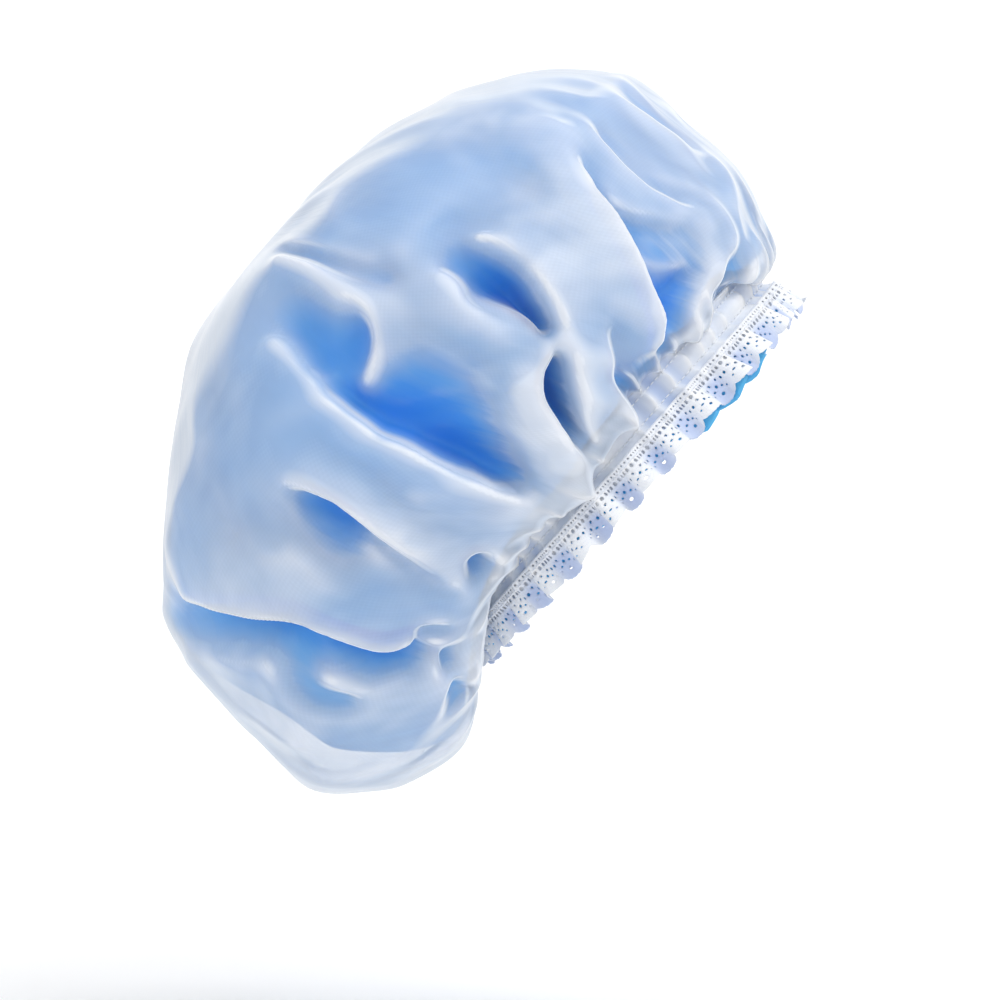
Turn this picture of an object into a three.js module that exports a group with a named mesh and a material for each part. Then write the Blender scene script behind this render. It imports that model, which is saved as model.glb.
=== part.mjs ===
// A gathered shower cap as worn: a sheer cover over a waterproof liner, with an elastic
// between them at the hem and a ruffled lace edge. Millimetres, +Z up, +X toward the forehead.
// It is built about the opening, with X toward the forehead and Z toward the crown, and then
// leaned back by the tilt of the hem. Angles run round the opening from the forehead.
import * as THREE from 'three';

// The opening, measured inside the liner, and the lean of the hem.
const HEM_TILT = 48.7;
const OPENING_LENGTH = 186;
const OPENING_WIDTH = 148;

// Layers at the hem, from the head outward.
const LINER_THICKNESS = 0.4;
const ELASTIC_THICKNESS = 1.2;
const BARTACK_THICKNESS = 0.5;
const COVER_THICKNESS = 0.4;
const LACE_THICKNESS = 0.6;
const THREAD_THICKNESS = 0.6;
const LAYER_GAP = 0.35;

// Heights along the hem, up and down from the lower row of the channel.
const CHANNEL_HEIGHT = 9;
const TURN_RISE = 3;
const ELASTIC_WIDTH = 6;
const THREAD_WIDTH = 0.9;
const COVER_HEM_WIDTH = 10;
const LINER_FRILL = 24;
const LACE_TOP = 3;
const LACE_WIDTH = 18;
const LACE_ROW = 6;

// The frill: how far the free edges stand off and how deep the lace ruffles.
const HEM_FLARE = 1.5;
const RUFFLE_DEPTH = 6;
const RUFFLE_COUNT = 32;
const END_RUFFLE_DEPTH = 3;

// The thread that joins the ends of the elastic, and the one that joins the ends of the lace.
const BARTACK_LENGTH = 8;
const BARTACK_HEIGHT = 4;
const LACE_JOIN_LENGTH = 9;
const LACE_JOIN_WIDTH = 0.9;

// Crown point, back from the middle of the opening and up from where the dome turns out.
const CROWN_BACK = 36;
const CROWN_HEIGHT = 157;

// Outlines from where the dome turns out to the crown, as outward and upward steps from there.
const FRONT_OUTLINE = [[13, -5], [23, 9], [30, 25], [32, 42], [32, 84], [25, 97], [13, 112],
  [-5, 128], [-28, 141], [-75, 157]];
const BACK_OUTLINE = [[7, -1], [14, -12], [18, -28], [28, -40], [44, -44], [69, -35], [92, -12],
  [92, 21], [90, 52], [84, 82], [70, 97], [11, 140], [-20, 156]];
const SIDE_OUTLINE = [[10, 0], [25, 10], [40, 32], [48, 60], [47, 88], [36, 114], [12, 139],
  [-24, 153]];

// Folds from forehead to nape on the right side: angles at the hem and on the dome, how much of
// the full height each has, and the share of the dome that it reaches.
const FOLD_HEIGHT = 12;
const FRONT_FOLD_FULLNESS = 0.2;
const FRONT_FOLD_SHARE = 0.5;
const BACK_FOLD_FULLNESS = 0.35;
const BACK_FOLD_SHARE = 0.7;
const FOLD_ANGLES = [[24, 16], [50, 38], [69, 56], [86, 66], [103, 79], [118, 104], [136, 122],
  [151, 137], [166, 152]];
const FOLD_FULLNESS = [0.2, 0.35, 1, 0.9, 0.9, 0.85, 0.65, 0.5, 0.4];
const FOLD_SHARES = [0.5, 0.6, 0.65, 0.65, 0.7, 0.8, 0.75, 0.6, 0.6];

// Pockets between the folds: angles, how much of the full depth each has, and the shares of the
// dome where it starts and ends. The fourth is a high saddle between two folds.
const POCKET_DEPTH = 13;
const POCKET_ANGLES = [[12, 8], [38, 27], [60, 49], [77, 61], [95, 71], [109, 97], [126, 113],
  [144, 130], [158, 143], [173, 166]];
const POCKET_FULLNESS = [0, 0.45, 1, -0.7, 0.9, 1, 0.75, 0.9, 0.75, 0.4];
const POCKET_START_SHARES = [0, 0, 0, 0, 0.02, 0.08, 0.08, 0.14, 0.38, 0.46];
const POCKET_END_SHARES = [0.5, 0.16, 0.42, 0.62, 0.52, 0.7, 0.52, 0.56, 0.64, 0.66];

// The left side has the same folds and pockets, a little flatter.
const LEFT_SHARE = 0.85;

// How much of each fold the liner shares, and how far it stays inside the cover's low roll behind
// the nape, which spans these shares of the dome.
const LINER_FOLLOW = 0.6;
const ROLL_INSET = 16;
const ROLL_START_SHARE = 0.1;
const ROLL_END_SHARE = 0.56;

// Facets: rows up the dome and how they crowd toward the hem, columns in each ruffle, rows down
// the lace, and sides of the row that holds it.
const DOME_ROWS = 12;
const ROW_CROWDING = 1.3;
const COLUMNS_PER_RUFFLE = 6;
const LACE_ROWS = 2;
const LACE_ROW_SIDES = 72;

const radians = THREE.MathUtils.degToRad;
const { clamp, lerp, smoothstep } = THREE.MathUtils;

// Distances of each layer's inner face from the inside of the opening.
const linerInner = 0;
const elasticInner = linerInner + LINER_THICKNESS + LAYER_GAP;
const bartackInner = elasticInner + ELASTIC_THICKNESS + LAYER_GAP;
const coverInner = bartackInner + BARTACK_THICKNESS + LAYER_GAP;
const coverOuter = coverInner + COVER_THICKNESS;
const coverMiddle = coverInner + COVER_THICKNESS / 2;
const linerMiddle = linerInner + LINER_THICKNESS / 2;
const layerStep = coverMiddle - linerMiddle;

// A point round the opening, at a distance out from its inside and a height above its plane.
function hemPoint(angle, out, height) {
  return new THREE.Vector3(
    (OPENING_LENGTH / 2 + out) * Math.cos(angle),
    (OPENING_WIDTH / 2 + out) * Math.sin(angle),
    height,
  );
}

// Columns in order round the cap, the left side first, then the right side from the nape back.
const folds = FOLD_ANGLES.map(([hem, dome], fold) => (
  { hem, dome, height: FOLD_HEIGHT * FOLD_FULLNESS[fold], start: 0, end: FOLD_SHARES[fold] }));
const pockets = POCKET_ANGLES.map(([hem, dome], pocket) => (
  {
    hem,
    dome,
    height: -POCKET_DEPTH * POCKET_FULLNESS[pocket],
    start: POCKET_START_SHARES[pocket],
    end: POCKET_END_SHARES[pocket],
  }));
const rightColumns = [...folds, ...pockets].sort((one, other) => one.hem - other.hem);
const leftColumns = rightColumns.map((line) => ({ ...line, height: LEFT_SHARE * line.height }));
const columns = [
  { hem: 0, dome: 0, height: FOLD_HEIGHT * FRONT_FOLD_FULLNESS, start: 0, end: FRONT_FOLD_SHARE },
  ...leftColumns,
  { hem: 180, dome: 180, height: FOLD_HEIGHT * BACK_FOLD_FULLNESS, start: 0, end: BACK_FOLD_SHARE },
  ...rightColumns.map((line) => ({ ...line, hem: 360 - line.hem, dome: 360 - line.dome })).reverse(),
];
const columnCount = columns.length;

// Angle of a column at a share of the dome: it leans over from the hem and then runs straight up.
function columnAngle(column, share) {
  const { hem, dome } = columns[column];
  return radians(lerp(hem, dome, smoothstep(share, 0, 0.35)));
}

const shareBetween = (share, start, end) => clamp((share - start) / (end - start), 0, 1);

// How far a column stands out from the plain dome: it swells fast from its start, is fullest a
// quarter of the way along and runs out at its end.
function foldHeight(column, share) {
  const { height, start, end } = columns[column];
  return height * Math.sin(Math.PI * Math.sqrt(shareBetween(share, start, end)));
}

// Outlines as curves from where the dome turns out to the crown.
const turnHeight = CHANNEL_HEIGHT + TURN_RISE;
const crownHeight = turnHeight + CROWN_HEIGHT;

function outline(start, steps, crown) {
  const points = steps.map(([out, up]) => new THREE.Vector2(start + out, turnHeight + up));
  return new THREE.SplineCurve([
    new THREE.Vector2(start, turnHeight),
    ...points,
    new THREE.Vector2(crown, crownHeight),
  ]);
}

const front = outline(OPENING_LENGTH / 2 + coverMiddle, FRONT_OUTLINE, -CROWN_BACK);
const back = outline(OPENING_LENGTH / 2 + coverMiddle, BACK_OUTLINE, CROWN_BACK);
const side = outline(OPENING_WIDTH / 2 + coverMiddle, SIDE_OUTLINE, 0);

// The plain dome: ovals through the front, back and side outlines at one share of each.
function domePoint(angle, share) {
  const f = front.getPointAt(share);
  const b = back.getPointAt(share);
  const s = side.getPointAt(share);
  const middle = -CROWN_BACK * smoothstep(share, 0, 0.4);
  const along = Math.cos(angle);
  const end = along > 0 ? f : b;
  const reach = along > 0 ? f.x - middle : b.x + middle;
  return new THREE.Vector3(
    middle + reach * along,
    s.x * Math.sin(angle),
    s.y + (end.y - s.y) * along * along,
  );
}

// A ring of points, one for each column.
function columnRing(pointAt) {
  return Array.from({ length: columnCount }, (_, column) => pointAt(column));
}

// The cover's own rows: the turned hem and the two edges of the channel, then the dome.
const hemRows = [
  columnRing((column) => hemPoint(columnAngle(column, 0), coverMiddle + HEM_FLARE, -COVER_HEM_WIDTH)),
  columnRing((column) => hemPoint(columnAngle(column, 0), coverMiddle, 0)),
  columnRing((column) => hemPoint(columnAngle(column, 0), coverMiddle, CHANNEL_HEIGHT)),
];
const domeShare = (row) => (row / DOME_ROWS) ** ROW_CROWDING;
const rowShare = (row) => domeShare(Math.max(row - hemRows.length, 0));
const domeRows = Array.from({ length: DOME_ROWS }, (_, row) => columnRing((column) => domePoint(
  columnAngle(column, domeShare(row)), domeShare(row))));
const coverRows = [...hemRows, ...domeRows];
const rowCount = coverRows.length;
const crown = new THREE.Vector3(-CROWN_BACK, 0, crownHeight);

// Triangles of a grid of rings that closes at the crown; inside faces are turned round.
function gridFaces(rings, sides, first, inward) {
  const faces = [];
  const add = (a, b, c) => faces.push(...(inward ? [a, c, b] : [a, b, c]));
  for (let row = 0; row < rings - 1; row += 1) {
    for (let column = 0; column < sides; column += 1) {
      const next = (column + 1) % sides;
      const a = first + row * sides + column;
      const b = first + row * sides + next;
      add(a, b, b + sides);
      add(a, b + sides, a + sides);
    }
  }
  return { faces, add };
}

// A closed thin wall between an outer and an inner grid of the same rows.
function wall(outer, inner, outerCrown, innerCrown) {
  const sides = outer[0].length;
  const size = outer.length * sides;
  const points = [...outer.flat(), ...inner.flat(), outerCrown, innerCrown];
  const outside = gridFaces(outer.length, sides, 0, false);
  const inside = gridFaces(inner.length, sides, size, true);
  const lastRow = size - sides;
  for (let column = 0; column < sides; column += 1) {
    const next = (column + 1) % sides;
    outside.add(lastRow + column, lastRow + next, 2 * size);
    inside.add(size + lastRow + column, size + lastRow + next, 2 * size + 1);
    outside.add(size + column, next, column);
    outside.add(size + column, size + next, next);
  }
  return solid(points, [...outside.faces, ...inside.faces]);
}

// A closed band round the opening, from a grid whose rows go round the band's own section.
function ring(section) {
  const sides = section[0].length;
  const { faces } = gridFaces(section.length + 1, sides, 0, false);
  const size = section.length * sides;
  return solid(section.flat(), faces.map((index) => index % size));
}

function solid(points, faces) {
  const geometry = new THREE.BufferGeometry();
  geometry.setAttribute('position', new THREE.Float32BufferAttribute(
    points.flatMap((point) => point.toArray()), 3));
  geometry.setIndex(faces);
  geometry.computeVertexNormals();
  return geometry;
}

// Outward directions of the plain cover: straight out along the channel, then square to the dome.
const outward = coverRows.map((points, row) => points.map((point, column) => {
  if (row < hemRows.length) return new THREE.Vector3(point.x, point.y, 0).normalize();
  const before = points[(column + columnCount - 1) % columnCount];
  const after = points[(column + 1) % columnCount];
  const below = coverRows[row - 1][column];
  const above = row + 1 < rowCount ? coverRows[row + 1][column] : crown;
  const up = above.clone().sub(point).normalize().add(point.clone().sub(below).normalize());
  return after.clone().sub(before).cross(up).normalize();
}));

// One sheet of the cap: its plain rows moved outward by a distance for each row and column.
function sheet(rows, distance, thickness) {
  const face = (offset) => rows.map((points, row) => points.map((point, column) => point.clone()
    .addScaledVector(outward[row][column], distance(row, column) + offset)));
  const top = (offset) => new THREE.Vector3(0, 0, distance(rowCount, 0) + offset).add(crown);
  const half = thickness / 2;
  return wall(face(half), face(-half), top(half), top(-half));
}

const coverGeometry = sheet(
  coverRows, (row, column) => foldHeight(column, rowShare(row)), COVER_THICKNESS);

// How far the liner stays inside the low roll at the back.
function rollInset(column, share) {
  const behind = smoothstep(-Math.cos(columnAngle(column, share)), 0.5, 0.9);
  const along = Math.sin(Math.PI * shareBetween(share, ROLL_START_SHARE, ROLL_END_SHARE));
  return ROLL_INSET * behind * along * along;
}

// The liner hangs below the cover's pockets and follows part of each fold, and its frill runs
// down past the cover's hem.
function linerDistance(row, column) {
  const share = rowShare(row);
  const fold = foldHeight(column, share);
  return Math.min(LINER_FOLLOW * fold, fold) - layerStep - rollInset(column, share);
}

const frillEdge = columnRing(
  (column) => hemPoint(columnAngle(column, 0), coverMiddle + HEM_FLARE, -LINER_FRILL));
const linerGeometry = sheet([frillEdge, ...coverRows.slice(1)], linerDistance, LINER_THICKNESS);

// A plain band round the opening between two distances and two heights.
const channelAngles = columnRing((column) => columnAngle(column, 0));

function hemBand(inner, thickness, bottom, height, angles = channelAngles) {
  const corners = [[inner, bottom], [inner + thickness, bottom],
    [inner + thickness, bottom + height], [inner, bottom + height]];
  return ring(corners.map(([out, level]) => angles.map((angle) => hemPoint(angle, out, level))));
}

const elasticBottom = (CHANNEL_HEIGHT - ELASTIC_WIDTH) / 2;
const elasticGeometry = hemBand(elasticInner, ELASTIC_THICKNESS, elasticBottom, ELASTIC_WIDTH);

// The lace: a ruffled band whose waves grow toward its free edge and lie flatter at both ends.
const laceInner = coverOuter + LAYER_GAP;
const laceColumns = RUFFLE_COUNT * COLUMNS_PER_RUFFLE;

function ruffle(angle, share) {
  const depth = lerp(RUFFLE_DEPTH, END_RUFFLE_DEPTH, smoothstep(Math.abs(Math.cos(angle)), 0.4, 0.95));
  return depth * share * (1 + Math.cos(RUFFLE_COUNT * angle)) / 2;
}

function laceFace(extra, row) {
  const share = row / LACE_ROWS;
  const height = -LACE_TOP - LACE_WIDTH * share;
  const flare = HEM_FLARE * Math.min(-height / COVER_HEM_WIDTH, 1);
  return Array.from({ length: laceColumns }, (_, column) => {
    const angle = 2 * Math.PI * (column + 0.5) / laceColumns;
    return hemPoint(angle, laceInner + flare + ruffle(angle, share) + extra, height);
  });
}

const laceLevels = Array.from({ length: LACE_ROWS + 1 }, (_, row) => row);
const laceGeometry = ring([
  ...laceLevels.map((row) => laceFace(0, row)),
  ...laceLevels.map((row) => laceFace(LACE_THICKNESS, row)).reverse(),
]);

// Thread rows, each lying on the outer face of the layer that it holds.
const threadInner = coverOuter + LAYER_GAP;
const upperRow = CHANNEL_HEIGHT - LAYER_GAP - THREAD_WIDTH;
const upperRowGeometry = hemBand(threadInner, THREAD_THICKNESS, upperRow, THREAD_WIDTH);
const lowerRowGeometry = hemBand(threadInner, THREAD_THICKNESS, -THREAD_WIDTH / 2, THREAD_WIDTH);

const laceRowShare = (LACE_ROW - LACE_TOP) / LACE_WIDTH;
const laceRowOut = laceInner + HEM_FLARE * LACE_ROW / COVER_HEM_WIDTH + RUFFLE_DEPTH * laceRowShare
  + LACE_THICKNESS + LAYER_GAP;
const laceRowAngles = Array.from({ length: LACE_ROW_SIDES },
  (_, side) => 2 * Math.PI * side / LACE_ROW_SIDES);
const laceRowGeometry = hemBand(laceRowOut, THREAD_THICKNESS, -LACE_ROW - THREAD_WIDTH / 2,
  THREAD_WIDTH, laceRowAngles);

// A small block on a face that looks away from the opening at the nape.
function napeBlock(out, thickness, width, height, level) {
  const block = new THREE.BoxGeometry(thickness, width, height);
  block.translate(-(OPENING_LENGTH / 2 + out + thickness / 2), 0, level);
  return block;
}

const bartackGeometry = napeBlock(bartackInner, BARTACK_THICKNESS, BARTACK_LENGTH, BARTACK_HEIGHT,
  CHANNEL_HEIGHT / 2);
const laceJoinGeometry = napeBlock(
  laceInner + HEM_FLARE + END_RUFFLE_DEPTH + LACE_THICKNESS + LAYER_GAP,
  THREAD_THICKNESS, LACE_JOIN_WIDTH, LACE_JOIN_LENGTH, -LACE_TOP - LACE_WIDTH + LACE_JOIN_LENGTH / 2);

// Named pieces, each with its own material.
const cap = new THREE.Group();
cap.name = 'shower_cap';

function piece(name, geometry, color, roughness) {
  const material = new THREE.MeshStandardMaterial({ color, roughness });
  material.name = name;
  const mesh = new THREE.Mesh(geometry, material);
  mesh.name = name;
  cap.add(mesh);
}

piece('outer_cover', coverGeometry, 0xdce8f6, 0.6);
piece('inner_liner', linerGeometry, 0x2f8fe0, 0.35);
piece('elastic_band', elasticGeometry, 0xf2f2ee, 0.8);
piece('lace_trim', laceGeometry, 0xf4f7fc, 0.8);
piece('upper_channel_stitching', upperRowGeometry, 0xffffff, 0.7);
piece('lower_channel_stitching', lowerRowGeometry, 0xffffff, 0.7);
piece('lace_stitching', laceRowGeometry, 0xffffff, 0.7);
piece('elastic_join_bartack', bartackGeometry, 0xffffff, 0.7);
piece('lace_join_stitching', laceJoinGeometry, 0xffffff, 0.7);

// Lean the opening forward and down, as the cap sits on a head.
cap.rotation.y = -radians(HEM_TILT);
cap.updateMatrixWorld(true);

export default cap;
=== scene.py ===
import math

import bmesh
import bpy
import numpy as np
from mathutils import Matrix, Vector


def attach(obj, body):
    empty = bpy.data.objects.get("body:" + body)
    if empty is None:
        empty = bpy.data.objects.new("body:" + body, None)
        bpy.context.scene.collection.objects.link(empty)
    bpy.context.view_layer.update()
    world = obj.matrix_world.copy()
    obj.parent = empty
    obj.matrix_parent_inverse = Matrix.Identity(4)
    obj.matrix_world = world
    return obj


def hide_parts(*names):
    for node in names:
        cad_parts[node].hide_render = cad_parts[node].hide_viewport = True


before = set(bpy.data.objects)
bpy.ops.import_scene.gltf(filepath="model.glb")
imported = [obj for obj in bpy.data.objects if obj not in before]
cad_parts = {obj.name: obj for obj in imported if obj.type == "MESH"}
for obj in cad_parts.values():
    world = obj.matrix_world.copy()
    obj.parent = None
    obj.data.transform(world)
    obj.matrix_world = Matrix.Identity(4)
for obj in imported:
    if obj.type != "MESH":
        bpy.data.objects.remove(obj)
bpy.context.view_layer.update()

# A gathered shower cap as worn: a sheer stiff cover over a blue film liner, an elastic between
# them at the hem, and a ruffled lace edge. Shapes are worked out in millimetres about the opening,
# with u toward the forehead, v to the wearer's left and w toward the crown.
MM = 0.001

# The opening, the lean of the hem and the layers there, as in the solids.
HEM_TILT = 48.7
OPENING_LENGTH = 186
OPENING_WIDTH = 148
LINER_MIDDLE = 0.2
ELASTIC_INNER = 0.75
ELASTIC_THICKNESS = 1.2
BARTACK_INNER = 2.3
COVER_MIDDLE = 3.35
LACE_MIDDLE = 4.2
CHANNEL_HEIGHT = 9
TURN_HEIGHT = 12
COVER_HEM = 10
LINER_FRILL = 24
LACE_TOP = 3
LACE_WIDTH = 18
LACE_ROW = 6
HEM_FLARE = 1.5
RUFFLE_DEPTH = 9
END_RUFFLE_DEPTH = 5
RUFFLE_COUNT = 32

# The dome's outlines from the turn to the crown, as outward and upward steps, as in the solids.
CROWN_BACK = 36
CROWN_HEIGHT = 169
FRONT_OUTLINE = [(13, -5), (23, 9), (30, 25), (32, 42), (32, 84), (25, 97), (13, 112), (-5, 128),
                 (-28, 141), (-75, 157)]
BACK_OUTLINE = [(7, -1), (14, -12), (18, -28), (28, -40), (44, -44), (69, -35), (92, -12), (92, 21),
                (90, 52), (84, 82), (70, 97), (11, 140), (-20, 156)]
SIDE_OUTLINE = [(10, 0), (25, 10), (40, 32), (48, 60), (47, 88), (36, 114), (12, 139), (-24, 153)]

# The photo's view: size of a pixel at the cap's middle plane, camera distance and aim.
PIXEL = 0.43
CAMERA_DISTANCE = 1500
AIM = np.array([-47.7, 0.0, -18.9])
PHOTO_MIDDLE = 500

# Cloth grids.
COLUMNS = 520
DOME_ROWS = 172
ROW_CROWDING = 1.15
COLUMN_CROWDING = 0.3
HEM_ROWS = [-10, -8.5, -7, -5.5, -4, -2.5, -1, 0, 1.5, 3, 4.5, 6, 7.5, 9, 10.5]
LINER_SHEET = 0.2

# Folds of the near side, as photo pixels with how far each point stands out from the plain dome.
FRONT_RIDGES = [
    [(470, 140, 3), (508, 134, 5), (530, 140, 8), (548, 142, 10), (557, 148, 11), (562, 162, 12),
     (576, 192, 14), (595, 223, 14), (609, 246, 14), (628, 275, 13), (642, 301, 12), (654, 322, 10),
     (666, 348, 6)],
    [(553, 131, 6), (569, 130, 6), (583, 138, 6), (600, 154, 5), (614, 168, 5), (628, 179, 5),
     (642, 191, 5), (661, 201, 5), (685, 213, 5), (701, 223, 6), (715, 231, 6)],
    [(566, 165, 7), (581, 178, 5), (595, 194, 4), (606, 205, 4), (631, 214, 4), (656, 217, 4),
     (685, 223, 5)],
    [(600, 95, 3), (609, 106, 4), (626, 115, 4), (647, 126, 4), (666, 138, 4), (689, 157, 4),
     (708, 171, 3), (722, 187, 3), (728, 202, 4)],
    [(724, 226, 4), (722, 250, 4), (709, 276, 3), (698, 300, 2), (690, 334, 1), (684, 356, 0)],
    [(752, 242, 3), (752, 268, 3), (744, 290, 2), (730, 314, 1)],
    [(648, 177, 1), (664, 179, 2), (685, 185, 2), (706, 195, 2), (725, 204, 3)],
    [(623, 258, -6), (652, 257, -6), (671, 261, -5), (701, 260, -4)],
]
FRONT_VALLEYS = [
    [(575, 171, 2), (594, 199, -4), (619, 241, -9), (634, 270, -14), (650, 305, -17), (663, 335, -14),
     (670, 352, -8)],
    [(700, 272, -9), (690, 282, -12), (678, 305, -16), (680, 340, -12)],
    [(738, 254, -4), (733, 282, -6), (722, 304, -7), (710, 330, -5)],
    [(620, 95, 0), (640, 108, -1), (660, 126, -1), (700, 152, 0)],
    [(592, 133, 0), (610, 148, -1), (627, 170, -1), (650, 190, -1), (690, 207, 0)],
    [(580, 192, -2), (600, 216, -5), (625, 226, -4), (655, 230, -3), (690, 235, -1)],
]
MIDDLE_RIDGES = [
    [(472, 239, 5), (491, 243, 7), (510, 251, 9), (528, 262, 10), (535, 272, 11), (543, 292, 12),
     (553, 311, 13), (561, 330, 13), (566, 346, 13), (572, 371, 12), (575, 385, 12), (577, 409, 10),
     (585, 427, 7), (598, 441, 4)],
    [(434, 275, 6), (448, 290, 7), (461, 305, 8), (476, 322, 8), (494, 338, 8), (512, 347, 7)],
    [(460, 292, -3), (472, 304, 0), (501, 311, 1), (524, 319, 2), (546, 335, 4)],
    [(553, 341, 7), (547, 351, 8), (534, 361, 9), (521, 375, 11), (521, 385, 12), (525, 403, 13),
     (538, 419, 13), (550, 444, 13), (557, 463, 13), (559, 486, 12), (555, 505, 11), (550, 518, 10),
     (551, 546, 9), (540, 564, 7), (521, 576, 5)],
    [(270, 340, 3), (282, 351, 5), (295, 366, 6), (316, 389, 7), (334, 403, 8), (349, 416, 8),
     (370, 431, 9), (376, 440, 9), (393, 443, 9), (412, 452, 10), (427, 462, 10), (451, 475, 11),
     (470, 480, 11), (489, 491, 11), (502, 494, 11), (515, 498, 10), (528, 492, 8), (537, 483, 8)],
    [(316, 420, 5), (334, 445, 6), (343, 468, 5)],
    [(416, 468, 9), (423, 490, 8), (430, 512, 7)],
    [(400, 534, 6), (425, 525, 7), (451, 521, 8), (471, 529, 8), (487, 541, 8), (491, 560, 6),
     (487, 575, 5), (482, 588, 3)],
    [(591, 287, 10), (593, 307, 11), (589, 331, 11), (588, 360, 11), (594, 380, 10), (610, 399, 8),
     (627, 419, 5)],
    [(400, 331, -1), (418, 334, 0), (434, 342, 1), (455, 354, 2), (475, 366, 2), (490, 378, 3),
     (503, 392, 4)],
]
MIDDLE_VALLEYS = [
    [(447, 267, -5), (471, 257, -8), (495, 268, -13), (512, 279, -17), (526, 290, -19),
     (537, 306, -20), (547, 325, -18), (552, 334, -12)],
    [(434, 243, 1), (447, 232, 0), (465, 227, 0), (484, 229, 1), (501, 238, 3)],
    [(556, 347, -5), (557, 362, -14), (560, 380, -18), (565, 400, -19), (570, 420, -16),
     (574, 440, -9)],
    [(324, 384, -8), (350, 405, -14), (372, 421, -16), (390, 432, -17), (415, 442, -18),
     (440, 455, -18), (465, 466, -18), (490, 477, -15), (510, 482, -9), (522, 476, -3)],
    [(478, 545, -5), (483, 560, -9), (480, 574, -5)],
    [(604, 322, 6), (612, 350, 2), (622, 380, -5), (632, 398, -8)],
    [(360, 452, 5), (380, 480, 4), (400, 505, 3)],
]
BACK_RIDGES = [
    [(277, 259, 4), (311, 270, 5), (336, 288, 6), (350, 299, 7), (365, 311, 7), (374, 322, 5),
     (376, 335, 3), (372, 358, 0), (364, 387, -5)],
    [(466, 182, 4), (438, 208, 5), (413, 234, 5), (400, 262, 4)],
    [(282, 240, 2), (310, 244, 2), (345, 252, 2), (380, 262, 2)],
    [(283, 481, 6), (295, 480, 7), (314, 484, 9), (334, 490, 10), (345, 498, 10), (360, 512, 10),
     (378, 527, 10), (399, 546, 10), (418, 560, 9), (438, 576, 7), (452, 585, 6), (466, 598, 5)],
    [(283, 483, 5), (278, 494, 3), (284, 504, 1), (292, 518, -1)],
    [(370, 526, -4), (374, 538, -1), (384, 549, 1), (399, 556, 2), (418, 566, 2), (439, 581, 2),
     (455, 594, 2)],
    [(263, 552, 5), (278, 550, 6), (294, 555, 7), (307, 567, 7), (322, 581, 7), (338, 596, 6),
     (351, 611, 4)],
    [(184, 592, 4), (202, 595, 6), (226, 601, 8), (250, 606, 9), (265, 608, 9), (292, 609, 9),
     (307, 612, 9), (318, 617, 9), (338, 623, 9), (358, 631, 9), (374, 636, 9), (386, 637, 8),
     (405, 631, 7), (421, 629, 5)],
    [(396, 629, 5), (400, 621, 6), (410, 617, 6), (428, 616, 6), (452, 615, 5), (464, 612, 4)],
    [(421, 640, 3), (438, 633, 5), (454, 634, 4)],
    [(190, 654, 4), (221, 657, 5), (249, 660, 6), (270, 659, 6), (277, 665, 6), (280, 676, 6),
     (287, 686, 5), (301, 702, 4), (315, 712, 4), (329, 715, 4), (355, 715, 4), (385, 708, 3)],
    [(319, 678, 1), (332, 678, 2), (344, 684, 2), (360, 687, 3), (378, 687, 3), (392, 682, 2),
     (406, 672, 1)],
    [(434, 654, 4), (435, 670, 5), (436, 687, 5), (428, 706, 5), (412, 723, 4), (393, 732, 3)],
    [(455, 655, 4), (464, 658, 5), (467, 669, 5), (465, 688, 4)],
    [(237, 708, 4), (268, 718, 5), (301, 729, 5), (329, 739, 4), (362, 745, 4), (398, 749, 3)],
]
BACK_VALLEYS = [
    [(291, 312, -7), (301, 327, -9), (312, 345, -9), (322, 372, -8)],
    [(350, 306, -5), (362, 320, -8), (364, 345, -8), (350, 375, -9)],
    [(291, 489, -4), (316, 496, -10), (336, 505, -13), (355, 518, -14), (371, 532, -10),
     (391, 547, -10), (409, 558, -9), (428, 571, -6), (446, 585, -3)],
    [(169, 622, -3), (200, 614, -8), (230, 613, -13), (262, 618, -15), (287, 619, -15),
     (303, 621, -14), (318, 634, -13), (345, 651, -14), (358, 658, -15), (388, 665, -16),
     (406, 657, -14), (420, 648, -7)],
    [(404, 630, -2), (425, 626, -3), (448, 624, -2)],
    [(441, 656, -7), (447, 659, -7), (441, 667, -6)],
    [(461, 676, -4), (456, 688, -5), (448, 696, -3)],
    [(290, 672, -3), (300, 690, -4), (318, 702, -5), (340, 705, -5), (360, 702, -4)],
    [(279, 251, -2), (306, 256, -2), (332, 264, -2), (357, 272, -2), (396, 280, -3)],
    [(230, 529, 0), (243, 539, -2)],
    [(262, 540, 3), (278, 545, 3), (292, 545, 3)],
]

# Broad hollows beside the folds, where the cloth sinks toward the liner.
BASINS = [
    [(458, 268, -16), (485, 283, -19), (512, 300, -21), (535, 320, -20)],
    [(345, 395, -14), (372, 412, -18), (400, 424, -20), (430, 436, -21), (462, 450, -20),
     (492, 464, -17)],
    [(385, 372, -13), (415, 396, -16), (450, 418, -16), (485, 436, -13)],
    [(405, 345, -8), (435, 362, -10), (468, 385, -10), (495, 410, -8)],
    [(283, 285, -6), (300, 305, -11), (312, 325, -13), (318, 350, -13), (325, 372, -11)],
    [(352, 315, -10), (355, 345, -12), (348, 372, -12)],
    [(543, 365, -16), (545, 385, -20), (552, 405, -20), (562, 428, -15)],
    [(295, 498, -12), (318, 508, -15), (342, 520, -15), (362, 534, -12)],
    [(312, 528, -7), (336, 543, -8), (360, 556, -7)],
    [(185, 624, -12), (220, 628, -18), (260, 634, -20), (295, 640, -19), (322, 650, -16)],
    [(358, 662, -15), (376, 668, -16), (396, 666, -14)],
    [(645, 272, -9), (664, 290, -14), (678, 310, -16), (680, 334, -14)],
    [(660, 266, -8), (690, 276, -10), (694, 300, -10)],
    [(729, 288, -8), (720, 306, -9)],
    [(600, 372, -5), (622, 386, -9), (642, 394, -9)],
    [(530, 165, -3), (538, 190, -5), (548, 215, -4)],
    [(320, 700, -5), (350, 704, -5)],
]

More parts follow.
